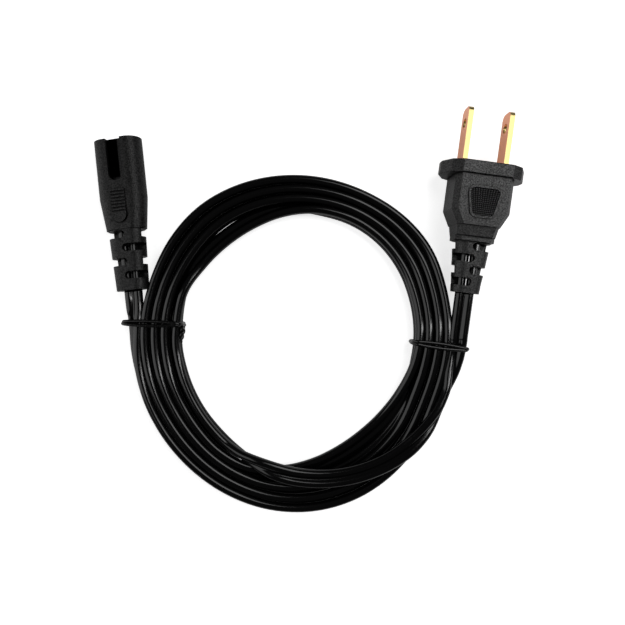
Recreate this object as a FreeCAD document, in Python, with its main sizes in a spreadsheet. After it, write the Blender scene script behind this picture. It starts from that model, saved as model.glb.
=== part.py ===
import FreeCAD, Part
import Sketcher
import math
import os

# Two-pole mains lead in millimetres: a figure eight connector, a flat twin cord in a
# coil held by two wire ties, and a two-blade plug.
# Origin: under the middle of the connector, on the surface that the lead lies on.
# +Y runs along the connector towards its mating face, +Z is up.

doc = FreeCAD.newDocument("figure_eight_lead")
sheet = doc.addObject("Spreadsheet::Sheet", "sizes")

SIZES = [
    # connector moulding, measured from its middle along Y
    ("pole_spacing", 8.6),
    ("shell_side", 6.5),
    ("shell_width", "=pole_spacing + shell_side"),
    ("shell_height", 8.0),
    ("shell_front", 23.6),
    ("connector_roll", -8.0),
    ("shell_taper_start", 5.2),
    ("shell_taper_end", -4.6),
    ("shell_back_width", 12.7),
    ("shell_back_height", 7.4),
    ("relief_width", 11.7),
    ("relief_height", 7.0),
    ("relief_end", -23.6),
    ("relief_end_width", 10.2),
    ("relief_end_height", 6.4),
    ("waist_width", 4.7),
    ("waist_length", 13.2),
    ("waist_depth", 1.4),
    ("pad_width", 4.8),
    ("pad_front", 7.6),
    ("pad_length", 10.2),
    ("pad_rise", 0.35),
    ("rib_pitch", 1.0),
    ("rib_width", 0.5),
    ("rib_depth", 0.3),
    # strain relief windows, in alternate quadrants
    ("window_width", 2.4),
    ("window_overlap", 0.6),
    ("window_below", 1.6),
    ("relief_first", -6.1),
    ("relief_pitch", 4.3),
    # contact carrier and contacts
    ("carrier_side", 4.2),
    ("carrier_width", "=pole_spacing + carrier_side"),
    ("carrier_height", 4.4),
    ("carrier_front", 23.3),
    ("carrier_back", 7.4),
    ("entry_radius", 1.5),
    ("contact_front", 22.1),
    ("contact_radius", 1.6),
    ("contact_bore", 1.2),
    ("contact_floor", 10.9),
    ("crimp_start", 10.1),
    ("crimp_radius", 1.3),
    ("slit_width", 0.4),
    ("slit_length", 8.0),
    ("fit_gap", 0.05),
    # conductors
    ("core_radius", 1.35),
    ("core_spacing", 3.0),
    ("strand_radius", 0.7),
    ("connector_bend_front", 6.4),
    ("connector_bend_back", -3.0),
    # flat twin cord
    ("cord_width", 6.0),
    ("cord_thickness", 3.0),
    ("connector_run", 7.4),
    ("plug_run", 14.2),
    # plug, in its own frame: flange face at zero, cord end at minus Y
    ("plug_x", 112.18),
    ("plug_y", 3.06),
    ("plug_z", 7.95),
    ("plug_turn", -12.9),
    ("plug_roll", 2.0),
    ("plug_tilt", 2.5),
    ("flange_width", 25.8),
    ("flange_height", 14.6),
    ("flange_cut_side", 3.2),
    ("flange_cut_top", 1.8),
    ("flange_end_side", 2.2),
    ("flange_end_top", 4.3),
    ("flange_length", 4.0),
    ("flange_edge", 0.4),
    ("grip_width", 17.8),
    ("grip_height", 13.4),
    ("grip_cut_side", 1.5),
    ("grip_cut_top", 2.0),
    ("shoulder_start", 14.5),
    ("shoulder_end", 18.9),
    ("shoulder_end_width", 13.2),
    ("neck_width", 13.0),
    ("neck_height", 12.2),
    ("neck_end", 22.0),
    ("neck_end_width", 12.0),
    ("neck_end_height", 11.2),
    ("collar_width", 12.2),
    ("collar_height", 9.6),
    ("collar_end", 23.45),
    ("tail_width", 11.7),
    ("tail_height", 8.0),
    ("tail_end", 39.25),
    ("tail_end_width", 8.8),
    ("tail_end_height", 6.2),
    ("tail_first", -24.9),
    ("tail_pitch", 3.65),
    ("patch_front", 7.3),
    ("patch_end", 16.7),
    ("patch_front_width", 10.8),
    ("patch_end_width", 7.4),
    ("patch_rim", 0.6),
    ("patch_rise", 0.35),
    ("patch_depth", 0.25),
    ("patch_corner", 2.0),
    ("bridge_width", 15.8),
    ("bridge_height", 9.2),
    ("bridge_corner", 1.5),
    ("bridge_front", 1.6),
    ("bridge_length", 7.0),
    ("blade_spacing", 12.7),
    ("blade_width", 6.35),
    ("blade_thickness", 1.5),
    ("blade_length", 17.1),
    ("blade_root", 9.5),
    ("blade_corner", 1.8),
    ("blade_hole_radius", 1.45),
    ("blade_hole_reach", 12.4),
    ("barrel_radius", 1.5),
    ("barrel_end", 13.0),
    ("plug_bend_front", -13.6),
    ("plug_bend_back", -23.4),
    # coil and wire ties
    ("coil_x", 50.4),
    ("coil_y", -46.2),
    ("coil_radius", 50.0),
    ("coil_height", 6.9),
    ("coil_edge", 1.2),
    ("hump_height", 9.4),
    ("hump_top", 40.0),
    ("hump_foot", 70.0),
    ("hump_sunk", 1.0),
    ("hump_turn", -74.0),
    ("hump_inner", 38.2),
    ("hump_outer", 49.0),
    ("tie_width", 2.0),
    ("tie_thickness", 0.9),
    ("tie_gap", 0.1),
    ("tie_corner", 1.2),
    ("tie_left_x", 5.3),
    ("tie_left_y", -34.7),
    ("tie_left_turn", -7.8),
    ("tie_left_opening", 17.0),
    ("tie_right_x", 94.15),
    ("tie_right_y", -50.9),
    ("tie_right_turn", -13.6),
    ("tie_right_opening", 16.0),
    ("tail_radius", 0.85),
    ("tail_length", 6.5),
    ("tail_gap", 0.5),
    ("tail_height_up", 4.6),
]

# Ring outline of the coil: angle in degrees about its middle, and share of coil_radius
COIL_OUTER = [(10, 0.992), (30, 1.040), (60, 1.058), (90, 1.080), (120, 1.088), (145, 1.056),
              (162, 1.104), (174, 1.076), (190, 1.044), (215, 1.044), (245, 1.058), (270, 1.054),
              (300, 1.012), (330, 0.992), (348, 1.024), (358, 1.058)]
COIL_INNER = [(0, 0.732), (30, 0.786), (60, 0.842), (90, 0.812), (120, 0.772), (150, 0.780),
              (180, 0.746), (210, 0.738), (240, 0.754), (257, 0.746), (270, 0.710), (285, 0.676),
              (300, 0.658), (330, 0.680), (348, 0.712)]

for row_number, (alias, size) in enumerate(SIZES, start=1):
    sheet.set("A%d" % row_number, alias)
    sheet.set("B%d" % row_number, str(size))
    sheet.setAlias("B%d" % row_number, alias)
doc.recompute()

REACH = 30.0  # length of a cutting tool that runs out past the piece it cuts
RIBS = 7  # cross grooves on each grip pad of the connector
COIL_SIDES = 60  # flat sides of the coil's outer and inner walls


def size(alias):
    return float(sheet.get(alias))


def amount(sum_of_aliases):
    """Number that a sum such as "flange_width - fit_gap" stands for."""
    total = 0.0
    sign = 1
    for word in sum_of_aliases.split():
        if word in ("+", "-"):
            sign = 1 if word == "+" else -1
        else:
            total += sign * size(word)
            sign = 1
    return total


def formula(sum_of_aliases):
    """The same sum as an expression on the sheet."""
    words = sum_of_aliases.split()
    return " ".join(word if word in ("+", "-") else "sizes." + word for word in words)


def bind(item, **pairs):
    for name, expression in pairs.items():
        path = "Placement.Base." + name if name in ("x", "y", "z") else name
        item.setExpression(path, expression)


def part_object(kind, name, **pairs):
    item = doc.addObject("Part::" + kind, name)
    bind(item, **pairs)
    return item


def joined(name, pieces):
    fusion = doc.addObject("Part::MultiFuse", name)
    fusion.Shapes = pieces
    return fusion


def cut(name, base, tool):
    result = doc.addObject("Part::Cut", name)
    result.Base = base
    result.Tool = tool
    return result


def new_body(name):
    return doc.addObject("PartDesign::Body", name)


def new_sketch(body, name, role, **offsets):
    sketch = body.newObject("Sketcher::SketchObject", name)
    plane = [item for item in body.Origin.OriginFeatures if item.Role == role][0]
    sketch.AttachmentSupport = [(plane, "")]
    sketch.MapMode = "FlatFace"
    for axis, expression in offsets.items():
        sketch.setExpression("AttachmentOffset.Base." + axis, expression)
    return sketch


def named_size(sketch, name, expression):
    sketch.renameConstraint(sketch.ConstraintCount - 1, name)
    sketch.setExpression("Constraints." + name, expression)


def vector(x, y, z=0.0):
    return FreeCAD.Vector(x, y, z)


def arc(x, y, radius, start, end):
    circle = Part.Circle(vector(x, y), vector(0, 0, 1), radius)
    return Part.ArcOfCircle(circle, math.radians(start), math.radians(end))


def stadium(sketch, wide, high):
    """Two half circles joined by flat sides, about the sketch's origin."""
    radius = amount(high) / 2
    side = amount(wide) / 2 - radius
    sketch.addGeometry([
        Part.LineSegment(vector(-side, radius), vector(side, radius)),
        arc(side, 0, radius, -90, 90),
        Part.LineSegment(vector(side, -radius), vector(-side, -radius)),
        arc(-side, 0, radius, 90, 270),
    ], False)
    for ends in ((0, 2, 1, 2), (1, 1, 2, 1), (2, 2, 3, 2), (3, 1, 0, 1)):
        sketch.addConstraint(Sketcher.Constraint("Tangent", *ends))
    sketch.addConstraint(Sketcher.Constraint("Horizontal", 0))
    sketch.addConstraint(Sketcher.Constraint("Symmetric", 1, 3, 3, 3, -1, 1))
    sketch.addConstraint(Sketcher.Constraint("PointOnObject", 1, 3, -1))
    sketch.addConstraint(Sketcher.Constraint("Radius", 1, radius))
    named_size(sketch, "half_high", "(%s) / 2" % formula(high))
    sketch.addConstraint(Sketcher.Constraint("DistanceX", 3, 3, 1, 3, 2 * side))
    named_size(sketch, "between", "%s - (%s)" % (formula(wide), formula(high)))


def rounded(sketch, wide, high, corner):
    """Rectangle with round corners about the sketch's origin."""
    radius = amount(corner)
    half_x = amount(wide) / 2
    half_y = amount(high) / 2
    in_x = half_x - radius
    in_y = half_y - radius
    base = sketch.GeometryCount
    sketch.addGeometry([
        Part.LineSegment(vector(-in_x, half_y), vector(in_x, half_y)),
        Part.LineSegment(vector(half_x, in_y), vector(half_x, -in_y)),
        Part.LineSegment(vector(in_x, -half_y), vector(-in_x, -half_y)),
        Part.LineSegment(vector(-half_x, -in_y), vector(-half_x, in_y)),
        arc(in_x, in_y, radius, 0, 90),
        arc(in_x, -in_y, radius, 270, 360),
        arc(-in_x, -in_y, radius, 180, 270),
        arc(-in_x, in_y, radius, 90, 180),
    ], False)
    for one, its_end, other, other_end in (
            (0, 2, 4, 2), (4, 1, 1, 1), (1, 2, 5, 2), (5, 1, 2, 1),
            (2, 2, 6, 2), (6, 1, 3, 1), (3, 2, 7, 2), (7, 1, 0, 1)):
        sketch.addConstraint(Sketcher.Constraint("Tangent", base + one, its_end,
                                                 base + other, other_end))
    for line, way in ((0, "Horizontal"), (1, "Vertical"), (2, "Horizontal"), (3, "Vertical")):
        sketch.addConstraint(Sketcher.Constraint(way, base + line))
    for first in (4, 5, 6):
        sketch.addConstraint(Sketcher.Constraint("Equal", base + first, base + first + 1))
    sketch.addConstraint(Sketcher.Constraint("Symmetric", base + 4, 3, base + 6, 3, -1, 1))
    sketch.addConstraint(Sketcher.Constraint("Radius", base + 4, radius))
    named_size(sketch, "corner%d" % base, formula(corner))
    sketch.addConstraint(Sketcher.Constraint("DistanceX", base + 3, 1, base + 1, 1, 2 * half_x))
    named_size(sketch, "wide%d" % base, formula(wide))
    sketch.addConstraint(Sketcher.Constraint("DistanceY", base + 2, 1, base, 1, 2 * half_y))
    named_size(sketch, "high%d" % base, formula(high))


def faceted(sketch, wide, high, *cuts):
    """Upright shape with flat facets at its corners, about the sketch's origin.
    Each cut says how far a facet runs sideways and down, from the top to the side."""
    top_x = size(wide) / 2 - sum(size(side) for side, drop in cuts)
    quarter = [(top_x, size(high) / 2)]
    for side, drop in cuts:
        quarter.append((quarter[-1][0] + size(side), quarter[-1][1] - size(drop)))
    right = quarter + [(x, -y) for x, y in reversed(quarter)]
    corners = [vector(x, y) for x, y in right + [(-x, y) for x, y in reversed(right)]]
    count = len(corners)
    sketch.addGeometry([Part.LineSegment(one, other)
                        for one, other in zip(corners, corners[1:] + corners[:1])], False)
    for line in range(count):
        sketch.addConstraint(Sketcher.Constraint("Coincident", line, 2, (line + 1) % count, 1))
    last = len(quarter) - 1
    for point in range(last + 1):
        sketch.addConstraint(Sketcher.Constraint("Symmetric", point, 1,
                                                 2 * last + 1 - point, 1, -1))
        sketch.addConstraint(Sketcher.Constraint("Symmetric", point, 1,
                                                 count - 1 - point, 1, -2))
        sketch.addConstraint(Sketcher.Constraint("Symmetric", point, 1,
                                                 2 * last + 2 + point, 1, -1, 1))
    sketch.addConstraint(Sketcher.Constraint("DistanceX", count - 1 - last, 1, last, 1,
                                             size(wide)))
    named_size(sketch, "wide", "sizes." + wide)
    sketch.addConstraint(Sketcher.Constraint("DistanceY", 2 * last + 1, 1, 0, 1, size(high)))
    named_size(sketch, "high", "sizes." + high)
    for point, (side, drop) in enumerate(cuts):
        sketch.addConstraint(Sketcher.Constraint("DistanceX", point, 1, point + 1, 1,
                                                 size(side)))
        named_size(sketch, "side%d" % point, "sizes." + side)
        sketch.addConstraint(Sketcher.Constraint("DistanceY", point + 1, 1, point, 1,
                                                 size(drop)))
        named_size(sketch, "drop%d" % point, "sizes." + drop)


def circle(sketch, radius):
    sketch.addGeometry(Part.Circle(vector(0, 0), vector(0, 0, 1), size(radius)), False)
    sketch.addConstraint(Sketcher.Constraint("Coincident", 0, 3, -1, 1))
    sketch.addConstraint(Sketcher.Constraint("Radius", 0, size(radius)))
    named_size(sketch, "radius", "sizes." + radius)


def pad(body, sketch, name, length, backwards=False, both_ways=False):
    feature = body.newObject("PartDesign::Pad", name)
    feature.Profile = sketch
    feature.Reversed = backwards
    feature.Midplane = both_ways
    feature.setExpression("Length", length)
    return feature


def loft(body, name, first, others):
    feature = body.newObject("PartDesign::AdditiveLoft", name)
    feature.Profile = first
    feature.Sections = others
    feature.Ruled = True
    return feature


roll = math.radians(abs(size("connector_roll")))
connector_rise = ((size("shell_height") / 2 + size("pad_rise")) * math.cos(roll)
                  + size("pad_width") / 2 * math.sin(roll))
connector_place = FreeCAD.Placement(
    vector(0, 0, connector_rise), FreeCAD.Rotation(0, size("connector_roll"), 0))
plug_place = FreeCAD.Placement(
    vector(size("plug_x"), size("plug_y"), size("plug_z")),
    FreeCAD.Rotation(size("plug_turn"), size("plug_roll"), size("plug_tilt")))


def window_tools(name, first, pitch, sides):
    """Openings of a strain relief: one for each row and face, past its middle line."""
    pieces = []
    for row_number, side in enumerate(sides):
        for face in (1, -1):
            label = "%s_%d_%s" % (name, row_number, "top" if face > 0 else "under")
            way = side * face
            middle = "(sizes.window_width / 2 - sizes.window_overlap)"
            along = "sizes.%s - %d * sizes.%s" % (first, row_number, pitch)
            low = "-sizes.window_below" if face > 0 else "sizes.window_below - %g" % REACH
            slot = part_object("Box", label + "_slot", Width="sizes.window_width",
                               y=along + " - sizes.window_width / 2", z=low,
                               x=middle if way > 0 else "-%s - %g" % (middle, REACH))
            slot.Length = REACH
            slot.Height = REACH
            end = part_object("Cylinder", label + "_end", Radius="sizes.window_width / 2",
                              x=("" if way > 0 else "-") + middle, y=along, z=low)
            end.Height = REACH
            pieces += [slot, end]
    return joined(name, pieces)


def core_wire(front_x, front_y, bend_front, bend_back, back_x, back_y):
    """A straight, two equal arcs that shift it sideways, and a straight."""
    shift = back_x - front_x
    drop = bend_front - bend_back
    radius = (shift * shift + drop * drop) / (4 * abs(shift))
    turn = math.asin(drop / 2 / radius)
    side = math.copysign(1.0, shift)
    middle = vector((front_x + back_x) / 2, (bend_front + bend_back) / 2)
    sag = radius * (1 - math.cos(turn / 2))
    fall = radius * math.sin(turn / 2)
    quarter = vector(front_x + side * sag, bend_front - fall)
    last_quarter = vector(back_x - side * sag, bend_back + fall)
    edges = [
        Part.LineSegment(vector(front_x, front_y), vector(front_x, bend_front)).toShape(),
        Part.Arc(vector(front_x, bend_front), quarter, middle).toShape(),
        Part.Arc(middle, last_quarter, vector(back_x, bend_back)).toShape(),
        Part.LineSegment(vector(back_x, bend_back), vector(back_x, back_y)).toShape(),
    ]
    return Part.Wire(edges)


def core_feature(name, wire, radius, start):
    ring = Part.Wire([Part.makeCircle(radius, start, vector(0, 1, 0))])
    item = doc.addObject("Part::Feature", name)
    item.Shape = wire.makePipeShell([ring], True, True)
    return item


def rod(name, radius, x, back, front):
    """Round rod or bore along Y between two places."""
    item = part_object("Cylinder", name, Radius=radius, Height="(%s) - (%s)" % (front, back),
                       x=x, y=back)
    item.Placement.Rotation = FreeCAD.Rotation(vector(1, 0, 0), -90)
    return item


def strand(name, x, back, front):
    """Bared wire of one pole, as a body of its own."""
    body = new_body(name)
    profile = new_sketch(body, name + "_profile", "XZ_Plane", x=x, z="-(%s)" % back)
    circle(profile, "strand_radius")
    pad(body, profile, name + "_pad", "(%s) - (%s)" % (front, back), backwards=True)
    return body


def block(name, wide, high, corner, front, length):
    """Rounded block that runs back along Y from its front face."""
    body = new_body(name)
    profile = new_sketch(body, name + "_profile", "XZ_Plane", z="-(%s)" % front)
    if corner:
        rounded(profile, wide, high, corner)
    else:
        stadium(profile, wide, high)
    pad(body, profile, name + "_pad", length)
    return body


SIDES = ((-1, "left"), (1, "right"))
connector_nodes = {}
plug_nodes = {}
other_nodes = {}


def build_contacts():
    """Carrier, contacts, bared strands and conductors. Returns the room they need."""
    carrier_length = "sizes.carrier_front - sizes.carrier_back"
    carrier = block("carrier_block", "carrier_width", "carrier_height", None,
                    "sizes.carrier_front", carrier_length)
    room = block("carrier_room", "carrier_width + fit_gap + fit_gap",
                 "carrier_height + fit_gap + fit_gap", None, "sizes.carrier_front + 1",
                 carrier_length + " + 1 + sizes.fit_gap")
    bores = []
    rooms = [room]
    for side, label in SIDES:
        pole = "%d * sizes.pole_spacing / 2" % side
        bores.append(rod("entry_" + label, "sizes.entry_radius", pole,
                         "sizes.carrier_back", "sizes.carrier_front + 1"))
        bores.append(rod("seat_" + label, "sizes.contact_radius + sizes.fit_gap", pole,
                         "sizes.carrier_back - 1", "sizes.contact_front"))
        sleeve = rod("sleeve_" + label, "sizes.contact_radius", pole,
                     "sizes.crimp_start", "sizes.contact_front")
        crimp = rod("crimp_" + label, "sizes.crimp_radius", pole,
                    "sizes.carrier_back", "sizes.crimp_start")
        bore = rod("bore_" + label, "sizes.contact_bore", pole,
                   "sizes.contact_floor", "sizes.contact_front + 1")
        wire_bore = rod("wire_bore_" + label, "sizes.strand_radius", pole,
                        "sizes.carrier_back - 1", "sizes.crimp_start")
        slit = part_object("Box", "slit_" + label, Width="sizes.slit_length + 1",
                           Height="sizes.contact_radius + 1", Length="sizes.slit_width",
                           x=pole + " - sizes.slit_width / 2",
                           y="sizes.contact_front - sizes.slit_length")
        connector_nodes["socket_contact_" + label] = cut(
            "contact_" + label, joined("contact_outside_" + label, [sleeve, crimp]),
            joined("contact_inside_" + label, [bore, wire_bore, slit]))
        connector_nodes["connector_strand_" + label] = strand(
            "connector_strand_" + label, pole, "sizes.carrier_back", "sizes.crimp_start")
        front_x = side * size("pole_spacing") / 2
        back_x = side * size("core_spacing") / 2
        wire = core_wire(front_x, size("carrier_back"), size("connector_bend_front"),
                         size("connector_bend_back"), back_x, size("relief_end"))
        start = vector(front_x, size("carrier_back"))
        connector_nodes["connector_core_" + label] = core_feature(
            "connector_core_" + label, wire, size("core_radius"), start)
        rooms.append(core_feature("connector_core_room_" + label, wire,
                                  size("core_radius") + size("fit_gap"), start))
    connector_nodes["contact_carrier"] = cut("carrier", carrier, joined("carrier_bores", bores))
    return rooms


def build_connector():
    """Overmoulded body: full-width front, tapered back and strain relief."""
    rooms = build_contacts()
    shell = new_body("shell")
    front = new_sketch(shell, "shell_front_profile", "XZ_Plane", z="-sizes.shell_front")
    stadium(front, "shell_width", "shell_height")
    pad(shell, front, "shell_front_pad", "sizes.shell_front - sizes.shell_taper_start")
    taper = new_sketch(shell, "taper_profile", "XZ_Plane", z="-sizes.shell_taper_start")
    stadium(taper, "shell_width", "shell_height")
    taper_end = new_sketch(shell, "taper_end_profile", "XZ_Plane", z="-sizes.shell_taper_end")
    stadium(taper_end, "shell_back_width", "shell_back_height")
    loft(shell, "shell_taper", taper, [taper_end])
    relief = new_sketch(shell, "relief_profile", "XZ_Plane", z="-sizes.shell_taper_end")
    stadium(relief, "relief_width", "relief_height")
    relief_end = new_sketch(shell, "relief_end_profile", "XZ_Plane", z="-sizes.relief_end")
    stadium(relief_end, "relief_end_width", "relief_end_height")
    loft(shell, "relief_loft", relief, [relief_end])

    full_rise = "(sizes.shell_height / 2 + sizes.pad_rise)"
    pad_end = "sizes.pad_front - sizes.pad_length + sizes.pad_width / 2"
    grip = part_object("Box", "grip_pad", Length="sizes.pad_width", x="-sizes.pad_width / 2",
                       Width="sizes.pad_front - (%s)" % pad_end, y=pad_end,
                       Height="2 * " + full_rise, z="-" + full_rise)
    grip_end = part_object("Cylinder", "grip_pad_end", Radius="sizes.pad_width / 2",
                           y=pad_end, Height="2 * " + full_rise, z="-" + full_rise)
    outside = joined("shell_outside", [shell, grip, grip_end])

    tools = []
    slot_end = "sizes.shell_front - sizes.waist_length + sizes.waist_width / 2"
    for face, label in ((1, "top"), (-1, "under")):
        floor_top = "sizes.shell_height / 2 - sizes.waist_depth"
        low = floor_top if face > 0 else "-(%s) - %g" % (floor_top, REACH)
        slot = part_object("Box", "waist_slot_" + label, Length="sizes.waist_width",
                           x="-sizes.waist_width / 2", y=slot_end, z=low)
        slot.Width = REACH
        slot.Height = REACH
        end = part_object("Cylinder", "waist_end_" + label, Radius="sizes.waist_width / 2",
                          y=slot_end, z=low)
        end.Height = REACH
        tools += [slot, end]
        for number in range(RIBS):
            groove_floor = full_rise + " - sizes.rib_depth"
            groove_low = groove_floor if face > 0 else "-(%s) - %g" % (groove_floor, REACH)
            groove = part_object(
                "Box", "rib_groove_%s_%d" % (label, number), Length="sizes.pad_width + 1",
                x="-sizes.pad_width / 2 - 0.5", Width="sizes.rib_pitch - sizes.rib_width",
                y="sizes.pad_front - %d * sizes.rib_pitch" % (number + 1), z=groove_low)
            groove.Height = REACH
            tools.append(groove)
    windows = window_tools("relief", "relief_first", "relief_pitch", (-1, 1, -1, 1))
    connector_nodes["connector_body"] = cut(
        "connector_body", outside, joined("connector_tools", tools + rooms + [windows]))


def build_blades():
    """Blades with their crimp barrels, strands and conductors, and the room they need."""
    rooms = []
    for side, label in SIDES:
        pole = "%d * sizes.blade_spacing / 2" % side
        plate = new_body("blade_plate_" + label)
        outline = new_sketch(plate, "blade_outline_" + label, "YZ_Plane",
                             x="(sizes.blade_length - sizes.blade_root) / 2", z=pole)
        rounded(outline, "blade_length + blade_root", "blade_width", "blade_corner")
        pad(plate, outline, "blade_pad_" + label, "sizes.blade_thickness", both_ways=True)
        barrel = rod("barrel_" + label, "sizes.barrel_radius", pole,
                     "-sizes.barrel_end", "-sizes.blade_root")
        wire_bore = rod("blade_wire_bore_" + label, "sizes.strand_radius", pole,
                        "-sizes.barrel_end - 1", "-sizes.blade_root")
        hole = part_object("Cylinder", "blade_hole_" + label, Radius="sizes.blade_hole_radius",
                           x=pole + " - %g" % (REACH / 10), y="sizes.blade_hole_reach")
        hole.Height = REACH / 5
        hole.Placement.Rotation = FreeCAD.Rotation(vector(0, 1, 0), 90)
        plug_nodes["blade_" + label] = cut(
            "blade_" + label, joined("blade_outside_" + label, [plate, barrel]),
            joined("blade_inside_" + label, [wire_bore, hole]))
        plug_nodes["plug_strand_" + label] = strand(
            "plug_strand_" + label, pole, "-sizes.barrel_end", "-sizes.blade_root")
        front_x = side * size("blade_spacing") / 2
        wire = core_wire(front_x, -size("barrel_end"), size("plug_bend_front"),
                         size("plug_bend_back"), side * size("core_spacing") / 2,
                         -size("tail_end"))
        start = vector(front_x, -size("barrel_end"))
        plug_nodes["plug_core_" + label] = core_feature(
            "plug_core_" + label, wire, size("core_radius"), start)
        slot = part_object(
            "Box", "blade_slot_" + label, Length="sizes.blade_thickness + 2 * sizes.fit_gap",
            x=pole + " - sizes.blade_thickness / 2 - sizes.fit_gap",
            Width="sizes.blade_root + sizes.fit_gap + 1", y="-sizes.blade_root - sizes.fit_gap",
            Height="sizes.blade_width + 2 * sizes.fit_gap",
            z="-sizes.blade_width / 2 - sizes.fit_gap")
        rooms += [slot, rod("barrel_room_" + label, "sizes.barrel_radius + sizes.fit_gap", pole,
                            "-sizes.barrel_end - sizes.fit_gap", "-sizes.blade_root"),
                  core_feature("plug_core_room_" + label, wire,
                               size("core_radius") + size("fit_gap"), start)]
    return rooms


def patch_block(name, inset, low, high):
    """Block of the grip patch's outline, wider at its front, with round corners."""
    back_x = "(sizes.patch_end_width / 2 - %s)" % inset
    front_x = "(sizes.patch_front_width / 2 - %s)" % inset
    plain = part_object("Wedge", name + "_plain", Xmin="-" + back_x, Xmax=back_x,
                        X2min="-" + front_x, X2max=front_x,
                        Ymin="-sizes.patch_end + %s" % inset,
                        Ymax="-sizes.patch_front - %s" % inset,
                        Zmin=low, Zmax=high, Z2min=low, Z2max=high)
    doc.recompute()
    block_round = doc.addObject("Part::Fillet", name)
    block_round.Base = plain
    corner = size("patch_corner") - (size("patch_rim") if "rim" in inset else 0)
    block_round.Edges = [(number + 1, corner, corner)
                         for number, edge in enumerate(plain.Shape.Edges)
                         if edge.BoundBox.XLength < 0.01 and edge.BoundBox.YLength < 0.01]
    return block_round


def build_patches():
    """Raised rims of the grip patches on both faces, and the shallow fields inside them."""
    rims = []
    fields = []
    top = "sizes.grip_height / 2"
    for label, low, high, floor, over in (
            ("top", top + " - 1", top + " + sizes.patch_rise",
             top + " - sizes.patch_depth", top + " + 1"),
            ("under", "-(%s) - sizes.patch_rise" % top, "-(%s) + 1" % top,
             "-(%s) - 1" % top, "-(%s) + sizes.patch_depth" % top)):
        outer = patch_block("patch_outer_" + label, "0", low, high)
        field = patch_block("patch_field_" + label, "sizes.patch_rim", floor, over)
        rims.append(outer)
        fields.append(field)
    return rims, fields


def build_plug():
    """Inner frame and the moulding round it: flange, grip, shoulders, neck and relief."""
    rooms = build_blades()
    frame = block("bridge_block", "bridge_width", "bridge_height", "bridge_corner",
                  "-sizes.bridge_front", "sizes.bridge_length")
    frame_slots = joined("bridge_slots", rooms[0:1] + rooms[3:4])
    plug_nodes["plug_bridge"] = cut("plug_bridge", frame, frame_slots)
    rooms.append(block("bridge_room", "bridge_width + fit_gap + fit_gap",
                       "bridge_height + fit_gap + fit_gap", "bridge_corner + fit_gap",
                       "-sizes.bridge_front + sizes.fit_gap",
                       "sizes.bridge_length + 2 * sizes.fit_gap"))

    moulding = new_body("plug_moulding")

    def profile(name, back, *sides):
        sketch = new_sketch(moulding, name, "XZ_Plane", z=back)
        if len(sides) > 2:
            faceted(sketch, *sides)
        else:
            stadium(sketch, *sides)
        return sketch

    grip_cut = ("grip_cut_side", "grip_cut_top")
    flange = profile("flange_profile", "0", "flange_width", "flange_height",
                     ("flange_cut_side", "flange_cut_top"),
                     ("flange_end_side", "flange_end_top"))
    flange_pad = pad(moulding, flange, "flange_pad", "sizes.flange_length")
    doc.recompute()
    rims = ["Edge%d" % (number + 1) for number, edge in enumerate(flange_pad.Shape.Edges)
            if edge.BoundBox.YLength < 0.01]
    soft_rim = moulding.newObject("PartDesign::Fillet", "flange_rims")
    soft_rim.Base = (flange_pad, rims)
    soft_rim.setExpression("Radius", "sizes.flange_edge")
    grip = profile("grip_profile", "sizes.flange_length", "grip_width", "grip_height",
                   grip_cut)
    pad(moulding, grip, "grip_pad_block", "sizes.shoulder_start - sizes.flange_length")
    shoulder = profile("shoulder_profile", "sizes.shoulder_start", "grip_width", "grip_height",
                       grip_cut)
    shoulder_end = profile("shoulder_end_profile", "sizes.shoulder_end", "shoulder_end_width",
                           "grip_height", grip_cut)
    loft(moulding, "shoulder_loft", shoulder, [shoulder_end])
    neck = profile("neck_profile", "sizes.shoulder_end", "neck_width", "neck_height",
                   grip_cut)
    neck_end = profile("neck_end_profile", "sizes.neck_end", "neck_end_width",
                       "neck_end_height", grip_cut)
    loft(moulding, "neck_loft", neck, [neck_end])
    collar = profile("collar_profile", "sizes.neck_end", "collar_width", "collar_height",
                     grip_cut)
    pad(moulding, collar, "collar_pad", "sizes.collar_end - sizes.neck_end")
    tail = profile("tail_profile", "sizes.collar_end", "tail_width", "tail_height")
    tail_end = profile("tail_end_profile", "sizes.tail_end", "tail_end_width",
                       "tail_end_height")
    loft(moulding, "tail_loft", tail, [tail_end])
    patch_rims, patch_fields = build_patches()
    outside = joined("plug_outside", [moulding] + patch_rims)
    windows = window_tools("tail", "tail_first", "tail_pitch", (1, -1, 1, -1))
    plug_nodes["plug_body"] = cut("plug_body", outside,
                                  joined("plug_tools", rooms + patch_fields + [windows]))


def build_cord_ends():
    connector_end = block("cord_connector_end", "cord_width", "cord_thickness", None,
                          "sizes.relief_end", "sizes.connector_run")
    plug_end = block("cord_plug_end", "cord_width", "cord_thickness", None,
                     "-sizes.tail_end", "sizes.plug_run")
    connector_nodes["cord_connector_end"] = connector_end
    plug_nodes["cord_plug_end"] = plug_end


def ring_face(outline):
    """Face of many flat sides along a smooth closed outline."""
    middle = vector(size("coil_x"), size("coil_y"))
    points = [middle + vector(share * math.cos(math.radians(angle)),
                              share * math.sin(math.radians(angle))) * size("coil_radius")
              for angle, share in outline]
    curve = Part.BSplineCurve()
    curve.interpolate(points, PeriodicFlag=True)
    corners = curve.discretize(Number=COIL_SIDES + 1)
    return Part.Face(Part.makePolygon(corners[:-1] + corners[:1]))


def placed_box(place, low_x, low_y, low_z, long_x, long_y, long_z):
    box = Part.makeBox(long_x, long_y, long_z, vector(low_x, low_y, low_z))
    box.Placement = place.multiply(box.Placement)
    return box


def tie_place(label):
    middle_z = (size("coil_height") + size("tie_gap") + size("tie_thickness")) / 2
    return FreeCAD.Placement(
        vector(size("tie_%s_x" % label), size("tie_%s_y" % label), middle_z),
        FreeCAD.Rotation(size("tie_%s_turn" % label), 0, 0))


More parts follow.
